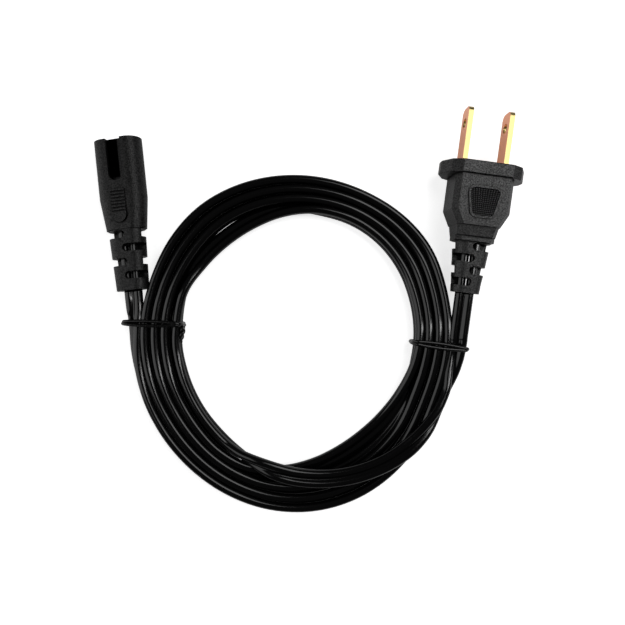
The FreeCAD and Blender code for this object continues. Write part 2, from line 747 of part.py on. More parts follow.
def build_coil():
    """One solid of the coil's outer shape, with a hump where the last turn crosses."""
    height = size("coil_height")
    flat_ring = ring_face(COIL_OUTER).cut(ring_face(COIL_INNER))
    ring = flat_ring.extrude(vector(0, 0, height)).Solids[0]
    rims = [edge for edge in ring.Edges
            if edge.BoundBox.ZLength < 0.01 and edge.BoundBox.ZMin > height - 0.01]
    ring = ring.makeChamfer(size("coil_edge"), rims)

    top = size("hump_height")
    low = height - size("hump_sunk")
    profile = [(-size("hump_foot") / 2, low), (-size("hump_top") / 2, top),
               (size("hump_top") / 2, top), (size("hump_foot") / 2, low)]
    corners = [vector(0, along, up) for along, up in profile]
    side_face = Part.Face(Part.makePolygon(corners + corners[:1]))
    hump = side_face.extrude(vector(size("hump_outer"), 0, 0))
    band = Part.makeCylinder(size("hump_outer"), top)
    band = band.cut(Part.makeCylinder(size("hump_inner"), top))
    hump = hump.common(band)
    hump.Placement = FreeCAD.Placement(
        vector(size("coil_x"), size("coil_y"), 0), FreeCAD.Rotation(size("hump_turn"), 0, 0))
    coil = ring.fuse(hump)

    room = size("tie_gap")
    half_cord = size("cord_width") / 2 + room
    half_relief = size("relief_end_width") / 2 + 2 * room
    half_tail = (size("tail_width") + size("tail_end_width")) / 4 + room
    end_y = size("relief_end")
    clear = [
        placed_box(connector_place, -REACH, end_y - size("connector_run"), -REACH,
                   REACH + half_cord, REACH, 2 * REACH),
        placed_box(connector_place, -REACH, end_y - 2 * room, -REACH,
                   REACH + half_relief, REACH, 2 * REACH),
        placed_box(plug_place, -half_cord, -size("tail_end") - size("plug_run"), -REACH,
                   half_cord + REACH, REACH, 2 * REACH),
        placed_box(plug_place, -half_tail, -size("tail_end") - 2 * room, -REACH,
                   half_tail + REACH, REACH, 2 * REACH),
    ]
    for label in ("left", "right"):
        place = tie_place(label)
        inside = size("tie_%s_opening" % label) / 2 - room
        low = size("tie_thickness") + room - place.Base.z
        half_width = size("tie_width") / 2 + room
        slab = placed_box(place, -REACH / 2, -half_width, -REACH, REACH, 2 * half_width,
                          2 * REACH)
        kept = Part.makeBox(2 * inside, 2 * REACH, height - low - place.Base.z,
                            vector(-inside, -REACH, low))
        corners = [edge for edge in kept.Edges if edge.BoundBox.YLength > REACH]
        kept = kept.makeFillet(size("tie_corner"), corners)
        kept.Placement = place
        clear.append(slab.cut(kept))
    for box in clear:
        coil = coil.cut(box)
    item = doc.addObject("Part::Feature", "cord_coil")
    item.Shape = coil.Solids[0]
    other_nodes["cord_coil"] = item


def build_ties():
    for label in ("left", "right"):
        name = "tie_" + label
        body = new_body(name)
        loop = new_sketch(body, name + "_loop", "XZ_Plane")
        opening = name + "_opening"
        rounded(loop, opening + " + tie_thickness + tie_thickness",
                "coil_height + tie_gap + tie_thickness", "tie_corner + tie_thickness")
        rounded(loop, opening, "coil_height + tie_gap - tie_thickness", "tie_corner")
        pad(body, loop, name + "_pad", "sizes.tie_width", both_ways=True)
        if label == "left":
            twist = new_sketch(body, "twisted_ends", "XZ_Plane", z="-sizes.tie_width / 2",
                               x="sizes.%s / 2 + sizes.tail_radius + sizes.tail_gap" % opening,
                               y="sizes.tail_height_up - sizes.coil_height / 2")
            circle(twist, "tail_radius")
            pad(body, twist, "twisted_ends_pad", "sizes.tail_length")
        body.Placement = tie_place(label)
        other_nodes[name] = body


build_connector()
build_plug()
build_cord_ends()
build_coil()
build_ties()
doc.recompute()
for nodes, place in ((connector_nodes, connector_place), (plug_nodes, plug_place)):
    for item in nodes.values():
        item.Placement = place
doc.recompute()

for item in doc.Objects:
    if "Invalid" in item.State or "Error" in item.State:
        raise RuntimeError("failed feature: %s" % item.Name)

all_nodes = {}
for nodes in (connector_nodes, plug_nodes, other_nodes):
    all_nodes.update(nodes)
os.makedirs("parts", exist_ok=True)
for name, item in all_nodes.items():
    item.Label = name
    shape = item.Shape
    if shape.isNull() or not shape.isValid() or len(shape.Solids) != 1:
        raise RuntimeError("bad shape: %s, %d solids" % (name, len(shape.Solids)))
    shape.exportStep(os.path.join("parts", name + ".step"))
    print("%-26s %9.2f mm3" % (name, shape.Volume))

run_lengths = {"cord_connector_end": size("connector_run"), "cord_plug_end": size("plug_run")}
section = math.pi * size("cord_thickness") ** 2 / 4
section += (size("cord_width") - size("cord_thickness")) * size("cord_thickness")
for name, run in run_lengths.items():
    print("%s: one straight run, volume over section times length %.4f"
          % (name, all_nodes[name].Shape.Volume / (section * run)))
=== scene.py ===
import math

import bpy
import numpy as np
from mathutils import Matrix, Vector


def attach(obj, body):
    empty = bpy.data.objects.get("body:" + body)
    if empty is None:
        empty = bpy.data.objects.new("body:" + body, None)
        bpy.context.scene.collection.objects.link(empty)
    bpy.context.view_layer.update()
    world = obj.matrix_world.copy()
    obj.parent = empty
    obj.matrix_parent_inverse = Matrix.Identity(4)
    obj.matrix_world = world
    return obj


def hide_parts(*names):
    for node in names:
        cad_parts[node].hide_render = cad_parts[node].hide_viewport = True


# A two-pole mains lead seen from straight above: figure eight connector, coiled flat
# twin cord with two wire ties, and a two-blade plug, on a white ground.
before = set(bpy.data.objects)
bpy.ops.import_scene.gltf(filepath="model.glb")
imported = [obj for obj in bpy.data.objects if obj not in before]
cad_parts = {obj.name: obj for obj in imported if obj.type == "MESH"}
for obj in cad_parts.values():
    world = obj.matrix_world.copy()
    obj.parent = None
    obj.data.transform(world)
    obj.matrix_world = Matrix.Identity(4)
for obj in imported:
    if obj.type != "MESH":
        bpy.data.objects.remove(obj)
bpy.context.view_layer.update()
scene = bpy.context.scene
MM = 0.001

# Places and sizes are in millimetres and turns in degrees, up to the ground
COIL_X, COIL_Y = 50.4, -46.2  # middle of the coil on the table
CONNECTOR_EXIT = (0.0, -23.6, 4.64)  # where the cord leaves the connector
CONNECTOR_ROLL = -8.0  # how the connector leans about its long axis
PLUG_TURN, PLUG_ROLL, PLUG_TILT = -12.9, 2.0, 2.5
PLUG_PLACE = (Matrix.Translation((112.18, 3.06, 7.95))
              @ Matrix.Rotation(math.radians(PLUG_TURN), 4, "Z")
              @ Matrix.Rotation(math.radians(PLUG_ROLL), 4, "Y")
              @ Matrix.Rotation(math.radians(PLUG_TILT), 4, "X"))
PLUG_TAIL = 39.25  # from the plug's face back to the end of its strain relief

# The flat cord: two round wires side by side with a thin web between them
WIRE_RADIUS = 1.4
WIRE_OFFSET = 1.5  # from the cord's middle to the middle of each wire
WEB_HALF = 0.62

# Noise seldom leaves the middle of its range, so that part is spread out
FINE_NOISE = (0.36, 0.64)
BROAD_NOISE = (0.3, 0.7)


# Materials
def new_material(name, colour, roughness, metallic=0.0, specular=0.5):
    material = bpy.data.materials.new(name)
    material.use_nodes = True
    shader = material.node_tree.nodes["Principled BSDF"]
    shader.inputs["Base Color"].default_value = (*colour, 1.0)
    shader.inputs["Roughness"].default_value = roughness
    shader.inputs["Metallic"].default_value = metallic
    shader.inputs["Specular IOR Level"].default_value = specular
    return material


def times(tree, one, other):
    product = tree.nodes.new("ShaderNodeMath")
    product.operation = "MULTIPLY"
    tree.links.new(one, product.inputs[0])
    tree.links.new(other, product.inputs[1])
    return product.outputs[0]


def ramp(tree, source, low, high, at_low=0.0, at_high=1.0):
    """A value that goes from at_low to at_high while the source goes from low to high."""
    spread = tree.nodes.new("ShaderNodeMapRange")
    spread.inputs["From Min"].default_value = low
    spread.inputs["From Max"].default_value = high
    spread.inputs["To Min"].default_value = at_low
    spread.inputs["To Max"].default_value = at_high
    tree.links.new(source, spread.inputs["Value"])
    return spread.outputs["Result"]


def object_noise(tree, scale, detail, stretch=(1.0, 1.0, 1.0)):
    """Noise that is fixed to the object, with the scale in cells to a metre."""
    place = tree.nodes.new("ShaderNodeTexCoord")
    mapping = tree.nodes.new("ShaderNodeMapping")
    mapping.inputs["Scale"].default_value = stretch
    noise = tree.nodes.new("ShaderNodeTexNoise")
    noise.inputs["Scale"].default_value = scale
    noise.inputs["Detail"].default_value = detail
    tree.links.new(place.outputs["Object"], mapping.inputs["Vector"])
    tree.links.new(mapping.outputs["Vector"], noise.inputs["Vector"])
    return noise.outputs["Fac"]


def add_grain(material, scale, strength, distance, stretch=(1.0, 1.0, 1.0), speckle=()):
    """Fine relief, its distance in metres. Each row of the speckle names an input of the
    shader that follows the relief, with its lowest and highest value."""
    tree = material.node_tree
    shader = tree.nodes["Principled BSDF"]
    noise = object_noise(tree, scale, 3.0, stretch)
    bump = tree.nodes.new("ShaderNodeBump")
    bump.inputs["Strength"].default_value = strength
    bump.inputs["Distance"].default_value = distance
    tree.links.new(noise, bump.inputs["Height"])
    tree.links.new(bump.outputs["Normal"], shader.inputs["Normal"])
    for socket, low, high in speckle:
        tree.links.new(ramp(tree, noise, *FINE_NOISE, low, high), shader.inputs[socket])


def vary_roughness(material, scale, low, high):
    """Broad patches between two levels of roughness."""
    tree = material.node_tree
    noise = object_noise(tree, scale, 4.0)
    tree.links.new(ramp(tree, noise, *BROAD_NOISE, low, high),
                   tree.nodes["Principled BSDF"].inputs["Roughness"])


def gild_edges(material, face_colour, edge_colour):
    """Rolled faces in one colour, and the sheared edges that point up or down in another."""
    tree = material.node_tree
    place = tree.nodes.new("ShaderNodeTexCoord")
    split = tree.nodes.new("ShaderNodeSeparateXYZ")
    upright = tree.nodes.new("ShaderNodeMath")
    upright.operation = "ABSOLUTE"
    mix = tree.nodes.new("ShaderNodeMix")
    mix.data_type = "RGBA"
    mix.inputs["A"].default_value = face_colour
    mix.inputs["B"].default_value = edge_colour
    tree.links.new(place.outputs["Normal"], split.inputs["Vector"])
    tree.links.new(split.outputs["Z"], upright.inputs[0])
    tree.links.new(ramp(tree, upright.outputs[0], 0.35, 0.75), mix.inputs["Factor"])
    tree.links.new(mix.outputs["Result"], tree.nodes["Principled BSDF"].inputs["Base Color"])


def darken(material, clear):
    """Colour and gloss of a speckled material times a mask, for painted shade."""
    tree = material.node_tree
    shader = tree.nodes["Principled BSDF"]
    for socket in ("Base Color", "Specular IOR Level"):
        before = shader.inputs[socket].links[0].from_socket
        tree.links.new(times(tree, before, clear), shader.inputs[socket])


def paint_hollow_shade(material):
    """Painted shade: darker colour and gloss in grooves, steps and inside corners."""
    tree = material.node_tree
    hollow = tree.nodes.new("ShaderNodeAmbientOcclusion")
    hollow.only_local = True
    hollow.samples = 8
    hollow.inputs["Distance"].default_value = 1.3 * MM
    darken(material, ramp(tree, hollow.outputs["AO"], 0.45, 0.92))


def paint_slot_shade(material):
    """Painted shade: deep black on the floor of the slot between the connector's two lobes."""
    tree = material.node_tree
    place = tree.nodes.new("ShaderNodeTexCoord")
    level = tree.nodes.new("ShaderNodeMapping")
    level.vector_type = "TEXTURE"
    level.inputs["Location"].default_value = (0.0, 0.0, CONNECTOR_EXIT[2] * MM)
    level.inputs["Rotation"].default_value = (0.0, math.radians(CONNECTOR_ROLL), 0.0)
    tree.links.new(place.outputs["Object"], level.inputs["Vector"])
    where = tree.nodes.new("ShaderNodeSeparateXYZ")
    tree.links.new(level.outputs["Vector"], where.inputs["Vector"])
    facing = tree.nodes.new("ShaderNodeSeparateXYZ")
    tree.links.new(place.outputs["Normal"], facing.inputs["Vector"])

    inside = ramp(tree, facing.outputs["Z"], 0.5, 0.8)
    # Each side of the floor, along the connector's own axes: just outside, and inside
    for axis, outside, within in (("X", -2.45, -2.3), ("X", 1.1, 0.8),
                                  ("Y", 10.8, 11.8), ("Z", 3.1, 2.9)):
        side = ramp(tree, where.outputs[axis], outside * MM, within * MM)
        inside = times(tree, inside, side)
    darken(material, ramp(tree, inside, 1.0, 0.0))


def moulded(name, low, high, roughness):
    """Black vinyl with the fine grain of a textured mould, between two levels of gloss, with
    painted shade in its hollows.
    """
    material = new_material(name, (0.005, 0.005, 0.005), 0.5)
    add_grain(material, 2700.0, 0.7, 0.00016,
              speckle=(("Base Color", 0.002, 0.007), ("Specular IOR Level", low, high)))
    vary_roughness(material, 90.0, roughness - 0.03, roughness + 0.03)
    # painted shade: darker colour and gloss in grooves, steps and inside corners
    paint_hollow_shade(material)
    return material


connector_black = moulded("connector_black", 0.11, 0.36, 0.38)
# painted shade: black on the floor of the slot between the connector's lobes
paint_slot_shade(connector_black)
plug_black = moulded("moulded_black", 0.20, 0.72, 0.39)

# The grip patches of the plug: the domes, in a lighter black than the moulding as painted
# highlight, and the floor between them, darker as painted shade
bump_painted_highlight = new_material("bump_painted_highlight", (0.045, 0.045, 0.046), 0.34, specular=0.8)
# near-black plate between the domes: painted shade
field_painted_shade = new_material("field_painted_shade", (0.001, 0.001, 0.001), 0.5, specular=0.06)

# Glossy vinyl of the cord, and the smooth coat of the ties
cord_black = new_material("cord_black", (0.001, 0.001, 0.0011), 0.14, specular=0.42)
add_grain(cord_black, 700.0, 0.06, 0.00005)
vary_roughness(cord_black, 60.0, 0.11, 0.16)
tie_black = new_material("tie_black", (0.002, 0.002, 0.002), 0.18, specular=0.4)
add_grain(tie_black, 1200.0, 0.1, 0.00005)

# Hard plastic inside both mouldings
insert_black = new_material("insert_black", (0.03, 0.03, 0.032), 0.4)
add_grain(insert_black, 1500.0, 0.1, 0.00004)

# Metals: the blades are brushed along their length
blade_metal = new_material("blade_metal", (0.95, 0.46, 0.27), 0.34, metallic=1.0)
add_grain(blade_metal, 700.0, 0.2, 0.00006, stretch=(6.0, 0.4, 6.0))
gild_edges(blade_metal, (0.97, 0.44, 0.25, 1.0), (0.56, 0.45, 0.19, 1.0))
brass = new_material("spring_brass", (0.80, 0.62, 0.32), 0.3, metallic=1.0)
add_grain(brass, 900.0, 0.1, 0.00004)
copper = new_material("copper_strand", (0.85, 0.48, 0.32), 0.35, metallic=1.0)
add_grain(copper, 2500.0, 0.4, 0.00008, stretch=(1.0, 0.1, 1.0))

FINISHES = {
    "connector_body": connector_black, "plug_body": plug_black,
    "contact_carrier": insert_black, "plug_bridge": insert_black,
    "socket_contact_left": brass, "socket_contact_right": brass,
    "connector_strand_left": copper, "connector_strand_right": copper,
    "plug_strand_left": copper, "plug_strand_right": copper,
    "connector_core_left": cord_black, "connector_core_right": cord_black,
    "plug_core_left": cord_black, "plug_core_right": cord_black,
    "blade_left": blade_metal, "blade_right": blade_metal,
    "cord_connector_end": cord_black, "cord_coil": cord_black, "cord_plug_end": cord_black,
    "tie_left": tie_black, "tie_right": tie_black,
}
for name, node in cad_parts.items():
    node.data.materials.clear()
    node.data.materials.append(FINISHES[name])


# Meshes
def ring_faces(rings, sides, base=0, closed=False):
    """Four-sided faces between rings of vertices that follow one another."""
    faces = []
    for ring in range(rings if closed else rings - 1):
        near = base + ring * sides
        far = base + (ring + 1) % rings * sides
        for side in range(sides):
            after = (side + 1) % sides
            faces.append((near + side, near + after, far + after, far + side))
    return faces


def end_faces(rings, sides, base=0):
    """The two caps of an open tube."""
    last = base + (rings - 1) * sides
    return [tuple(base + side for side in reversed(range(sides))),
            tuple(last + side for side in range(sides))]


def smooth_mesh(name, vertices, faces):
    mesh = bpy.data.meshes.new(name)
    mesh.from_pydata(vertices, [], faces)
    mesh.validate()
    mesh.polygons.foreach_set("use_smooth", [True] * len(mesh.polygons))
    mesh.update()
    return mesh


def add_piece(name, mesh, material):
    piece = bpy.data.objects.new(name, mesh)
    scene.collection.objects.link(piece)
    mesh.materials.append(material)
    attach(piece, "root")
    return piece


# The cord's route. One turn of the coil: angle, radius of the first turn, pitch of the
# turns inside it, and how much further in the fourth turn lies
COIL_TURNS = 4
COIL_START = 165  # angle at which each turn starts
CONTROL_STEP = 15  # degrees between the points that shape the coil
TURN = [(164, 52.1, 3.1, 0), (180, 51.6, 3.2, 0), (210, 50.7, 3.08, 0), (240, 51.3, 3.03, 0),
        (260, 51.6, 3.2, 2.4), (280, 50.9, 3.5, 4.2), (300, 49.1, 3.5, 4.2),
        (320, 47.0, 3.25, 2.65), (335, 45.2, 3.1, 0.4), (350, 46.2, 3.05, 0),
        (360, 46.9, 2.93, 0), (375, 48.2, 2.97, 0), (390, 50.5, 3.15, 0.15),
        (420, 51.4, 2.75, 0), (450, 52.5, 3.05, 0.95), (465, 52.9, 3.25, 2.1),
        (480, 52.9, 3.5, 2.3), (495, 51.6, 3.5, 1.1), (510, 49.8, 3.1, 0), (524, 49.0, 3.1, 0)]
# The last turn: angle, radius, height of its middle, and roll, where -90 is on edge
LAST_TURN = [(164, 39.7, 3.9, -90), (180, 38.9, 3.05, -88), (210, 38.4, 2.96, -90),
             (226, 38.9, 3.0, -90), (234, 39.1, 4.1, -82), (243, 39.1, 6.4, -48),
             (252, 39.7, 7.6, -12), (262, 40.8, 7.5, 0), (280, 42.9, 7.25, 4),
             (300, 45.4, 7.25, 0), (312, 46.7, 7.35, -6), (322, 47.6, 6.7, -40),
             (335, 48.2, 5.1, -84), (341, 48.5, 4.8, -55), (347, 49.0, 4.7, -15),
             (357, 50.0, 5.5, 2)]
LAST_TURN_CONTROLS = (170, 180, 195, 210, 225, 235, 242, 249, 256, 264, 275, 287, 299, 310,
                      320, 329, 337, 344, 350.5, 356)
# Where the third and fourth turns lean over into the room beside them: angle, how flat
# they lie, where 1 is flat on the table, and 1 for outward or -1 for inward
LEAN = {2: ((252, 274, 310, 334), (0.0, 0.58, 0.58, 0.0), -1.0),
        3: ((228, 258, 322, 350, 434, 458, 496, 514),
            (0.0, 0.70, 0.70, 0.0, 0.0, 0.74, 0.74, 0.0), 1.0)}
LEAN_DROP = 1.32  # how far the middle of a cord on edge comes down when it lies flat
LEAN_LIFT = 0.09  # keeps the smooth curve of a leaning turn off the table
ON_EDGE = 2.93  # height of the cord's middle where it stands on edge on the table
SHRINK = 0.9915  # the smooth curve that the control points shape runs inside them
# From the connector the cord rolls up onto its edge
RISE_ANGLES, RISE_ROLLS = (165, 180, 195, 210), (-38, -66, -84, -90)
SWAY_RATE, SWAY_ROLL, SWAY_LIFT = 0.43, 4.0, 0.06  # slow unevenness along the coil
# Straight back from the connector, each with its roll, and distances behind the plug
FROM_CONNECTOR = [(CONNECTOR_EXIT, CONNECTOR_ROLL), ((0.0, -26.4, 4.62), -9.0),
                  ((-0.2, -30.0, 4.35), -18.0)]
BEHIND_PLUG = (14.2, 9.5, 5.0, 2.0, 0.0)

# Angles of the two ties, and the cord's lift where it lies on their lower side: how high,
# how many degrees it reaches to each side, and the power that shapes the slope
LEFT_TIE, RIGHT_TIE = 165.5, 352.7
TIE_LIFT, TIE_REACH, TIE_SLOPE = 1.05, 25.0, 0.8


def smooth_table(table, angle):
    """Values of a table of (angle, value, ...) rows at an angle, along a smooth curve."""
    rows = np.array(table, float)
    angles = rows[:, 0]
    slopes = np.gradient(rows[:, 1:], angles, axis=0)
    index = int(np.clip(np.searchsorted(angles, angle) - 1, 0, len(angles) - 2))
    step = angles[index + 1] - angles[index]
    t = min(max((angle - angles[index]) / step, 0.0), 1.0)
    low, high = rows[index, 1:], rows[index + 1, 1:]
    return ((2 * t ** 3 - 3 * t ** 2 + 1) * low + (t ** 3 - 2 * t ** 2 + t) * step * slopes[index]
            + (3 * t ** 2 - 2 * t ** 3) * high + (t ** 3 - t ** 2) * step * slopes[index + 1])


def over_tie(angle):
    """Lift of the cord where it lies on the strap of a tie."""
    lift = 0.0
    for tie in (LEFT_TIE, RIGHT_TIE):
        away = abs((angle - tie + 180.0) % 360.0 - 180.0)
        lift += TIE_LIFT * max(0.0, 1.0 - away / TIE_REACH) ** TIE_SLOPE
    return min(lift, TIE_LIFT)


def on_coil(angle, radius, height):
    turned = math.radians(angle)
    return (COIL_X + radius * math.cos(turned), COIL_Y + radius * math.sin(turned), height)


def coil_control(turn, angle):
    """Point and roll of one of the coil's first four turns at an angle."""
    first, pitch, gap = smooth_table(TURN, angle)
    radius = first - turn * pitch - (gap if turn == 3 else 0.0)
    sway = math.sin(math.radians((angle + 360 * turn) * SWAY_RATE))
    roll = -90.0 + SWAY_ROLL * sway
    if turn == 0 and angle <= RISE_ANGLES[-1]:
        roll = float(np.interp(angle, RISE_ANGLES, RISE_ROLLS))
    height = ON_EDGE + over_tie(angle) + SWAY_LIFT * (1.0 + sway)
    if turn in LEAN:
        angles, flatness, side = LEAN[turn]
        lean = math.radians(90.0 * float(np.interp(angle, angles, flatness)))
        radius += side * WIRE_OFFSET * math.sin(lean)
        height += LEAN_LIFT - LEAN_DROP * (1.0 - math.cos(lean))
        roll += side * math.degrees(lean)
    return on_coil(angle, radius / SHRINK, height), roll


def cord_controls():
    """Points and rolls that the cord's middle line follows, from connector to plug."""
    controls = list(FROM_CONNECTOR)
    for turn in range(COIL_TURNS):
        for angle in range(COIL_START, COIL_START + 360, CONTROL_STEP):
            controls.append(coil_control(turn, angle))
    for angle in LAST_TURN_CONTROLS:
        radius, height, roll = smooth_table(LAST_TURN, angle)
        controls.append((on_coil(angle, radius, height), float(roll)))
    for back in BEHIND_PLUG:
        place = PLUG_PLACE @ Vector((0.0, -PLUG_TAIL - back, 0.0))
        controls.append((tuple(place), PLUG_ROLL))
    return controls


def smooth_line(points, steps):
    """Points along one smooth curve that the given points shape, ends included."""
    curve = bpy.data.curves.new("cord_line", "CURVE")
    curve.dimensions = "3D"
    spline = curve.splines.new("NURBS")
    spline.points.add(len(points) - 1)
    for control, point in zip(spline.points, points):
        control.co = (*point, 1.0)
    spline.order_u = 3
    spline.use_endpoint_u = True
    spline.resolution_u = steps
    carrier = bpy.data.objects.new("cord_line", curve)
    scene.collection.objects.link(carrier)
    bpy.context.view_layer.update()
    mesh = bpy.data.meshes.new_from_object(carrier)
    points_along = np.array([v.co for v in mesh.vertices], float)
    bpy.data.objects.remove(carrier)
    bpy.data.meshes.remove(mesh)
    bpy.data.curves.remove(curve)
    return points_along


def lengths_along(points):
    steps = np.linalg.norm(np.diff(points, axis=0), axis=1)
    return np.concatenate([[0.0], np.cumsum(steps)])


def shares_along(points):
    lengths = lengths_along(points)
    return lengths / lengths[-1]


def cord_frame(controls):
    """The cord's middle line in metres, and the ways across and through it at each point."""
    points = [point for point, roll in controls]
    middle = smooth_line(points, 8) * MM
    rolls = np.radians(np.interp(shares_along(middle), shares_along(np.array(points, float)),
                                 [roll for point, roll in controls]))
    for _ in range(3):
        rolls[1:-1] = (rolls[:-2] + 2.0 * rolls[1:-1] + rolls[2:]) / 4.0
    tangent = np.gradient(middle, axis=0)
    tangent /= np.linalg.norm(tangent, axis=1)[:, None]
    outward = np.cross(tangent, (0.0, 0.0, 1.0))
    outward /= np.linalg.norm(outward, axis=1)[:, None]
    upward = np.cross(outward, tangent)
    across = np.cos(rolls)[:, None] * outward + np.sin(rolls)[:, None] * upward
    through = -np.sin(rolls)[:, None] * outward + np.cos(rolls)[:, None] * upward
    return middle, across, through


def twin_section(radius, offset, web_half):
    """Outline of two round wires side by side with a web between them."""
    outline = [(offset + radius * math.cos(math.radians(a)), radius * math.sin(math.radians(a)))
               for a in range(150, -151, -15)]
    outline.append((0.0, -web_half))
    outline += [(-x, y) for x, y in reversed(outline[:-1])]
    outline.append((0.0, web_half))
    return np.array(outline)


def tube_mesh(name, middle, across, through, section):
    """Skin round a line: the section stands across it at each point, with closed ends."""
    rings = (middle[:, None, :] + section[None, :, 0, None] * across[:, None, :]
             + section[None, :, 1, None] * through[:, None, :])
    count, sides = rings.shape[0], rings.shape[1]
    faces = ring_faces(count, sides) + end_faces(count, sides)
    return smooth_mesh(name, rings.reshape(-1, 3).tolist(), faces)


line, across_cord, through_cord = cord_frame(cord_controls())
cord_section = twin_section(WIRE_RADIUS, WIRE_OFFSET, WEB_HALF) * MM
cord = add_piece("twin_cord",
                 tube_mesh("twin_cord", line, across_cord, through_cord, cord_section),
                 cord_black)
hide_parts("cord_connector_end", "cord_coil", "cord_plug_end")

# Wire ties: two coated wires round the coil, which cross at its sides
TIE_WIRE = 0.55  # radius of each coated wire
LOOP_HEIGHT, LOOP_CORNER, LOOP_MIDDLE = 6.9, 1.7, 4.15
LOOP_POINTS = 160
WIRES_APART = 0.70  # how far each wire sways along the coil
WIRES_LIFT = 0.12  # how far it sways away from the coil, so that the wires pass
CROSSING = 0.36  # share of the loop that puts the crossings at its sides
TWIST_TURNS, TWIST_WIDE, TWIST_POINTS = 1.5, 0.42, 60
TWIST_START = (0.95, -0.6, 1.2)  # from the middle of the loop's side
TWIST_INWARD, TWIST_DOWN = 1.1, 0.8  # how far the twisted end bends in and drops


def loop_line(wide, high, corner, sides):
    """Points round an upright rectangle with round corners, and the way out at each."""
    straight = (wide - 2 * corner, high - 2 * corner)
    quarter = corner * math.pi / 2
    runs = [straight[0], quarter, straight[1], quarter] * 2
    corners = [(1, 1), (1, -1), (-1, -1), (-1, 1)]
    points = []
    for number in range(sides):
        along = number / sides * sum(runs)
        leg = 0
        while along > runs[leg]:
            along -= runs[leg]
            leg += 1
        heading = (leg // 2) * 90.0
        ahead = 0.0
        if leg % 2:
            heading += along / quarter * 90.0
        else:
            ahead = along - runs[leg]
        out = (math.sin(math.radians(heading)), math.cos(math.radians(heading)))
        side_x, side_z = corners[leg // 2]
        points.append(((side_x * straight[0] / 2 + corner * out[0] + ahead * out[1],
                        side_z * straight[1] / 2 + corner * out[1] - ahead * out[0]), out))
    return points


def wire_mesh(name, wires, radius):
    """Round wires as one mesh, from pairs of a list of points and whether it is closed."""
    vertices, faces = [], []
    sides = 12
    for path, closed in wires:
        path = np.array(path, float)
        if closed:
            ahead = np.roll(path, -1, axis=0) - np.roll(path, 1, axis=0)
        else:
            ahead = np.gradient(path, axis=0)
        ahead /= np.linalg.norm(ahead, axis=1)[:, None]
        side = np.cross(ahead, (0.31, 0.87, 0.38))
        side /= np.linalg.norm(side, axis=1)[:, None]
        over = np.cross(side, ahead)
        base = len(vertices)
        for point, one, two in zip(path, side, over):
            for step in range(sides):
                turned = 2 * math.pi * step / sides
                vertices.append(tuple(point + radius * (math.cos(turned) * one
                                                        + math.sin(turned) * two)))
        faces += ring_faces(len(path), sides, base, closed)
        if not closed:
            faces += end_faces(len(path), sides, base)
    return smooth_mesh(name, vertices, faces)


def tie_loop(place, opening, strand):
    """One wire once round the coil. The strand is 1 or -1."""
    path = []
    loop = loop_line(opening + 2 * TIE_WIRE, LOOP_HEIGHT, LOOP_CORNER, LOOP_POINTS)
    for number, ((x, z), out) in enumerate(loop):
        phase = 2 * math.pi * (number / len(loop) + CROSSING)
        apart = WIRES_APART * strand * math.cos(phase)
        lift = WIRES_LIFT * strand * math.sin(phase)
        point = place @ Vector((x + lift * out[0], apart, z + lift * out[1]))
        path.append(tuple(point * MM))
    return path


def tie_twist(place, opening, length, strand):
    """One wire of the twisted end, which bends in along the coil's side."""
    path = []
    for number in range(TWIST_POINTS):
        along = number / (TWIST_POINTS - 1)
        phase = 2 * math.pi * TWIST_TURNS * along + (0.0 if strand > 0 else math.pi)
        wide = TWIST_WIDE * min(1.0, 0.3 + 4.0 * along) * (1.0 - 0.25 * along)
        point = place @ Vector((
            opening / 2 + TWIST_START[0] - TWIST_INWARD * along ** 1.5 + wide * math.cos(phase),
            TWIST_START[1] - length * along,
            TWIST_START[2] - TWIST_DOWN * along + wide * math.sin(phase)))
        path.append(tuple(point * MM))
    return path


def wire_tie(name, node, place_x, place_y, turn, opening, twist_length):
    """Two coated wires round the coil, and their twisted ends where the length isn't 0."""
    place = Matrix.Translation((place_x, place_y, LOOP_MIDDLE)) @ Matrix.Rotation(
        math.radians(turn), 4, "Z")
    wires = []
    for strand in (1, -1):
        wires.append((tie_loop(place, opening, strand), True))
        if twist_length:
            wires.append((tie_twist(place, opening, twist_length, strand), False))
    piece = add_piece(name, wire_mesh(name, wires, TIE_WIRE * MM), tie_black)
    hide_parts(node)
    return piece


ties = [wire_tie("wire_tie_left", "tie_left", 5.3, -34.7, -7.8, 17.0, 5.2),
        wire_tie("wire_tie_right", "tie_right", 94.15, -50.9, -13.6, 16.0, 0.0)]

# Grip patches of the plug, in the plug's own directions: the flange is in front
PATCH_ROWS, PATCH_COLUMNS = 14, 12
PATCH_FRONT, ROW_STEP = -8.35, 0.57
FRONT_HALF, NARROWING = 4.45, 0.181  # half width of the rows, and its loss for each mm back
NARROWS_FROM = 7.3  # distance behind the plug's face at which the rows have that width
DOME_WIDE, DOME_LONG, DOME_HIGH = 0.29, 0.235, 0.5
DOME_BASE = 6.45  # height over the plug's middle
FIELD_HEIGHTS = (6.44, 6.48)  # underside and top of the plate of painted shade between the domes


def on_plug(name, vertices, faces, face):
    """Mesh placed on the plug's upper face, or on its lower one where face is -1."""
    if face < 0:
        faces = [tuple(reversed(one)) for one in faces]
    mesh = bpy.data.meshes.new(name)
    mesh.from_pydata([tuple((PLUG_PLACE @ Vector((x, y, z * face))) * MM)
                      for x, y, z in vertices], [], faces)
    return mesh


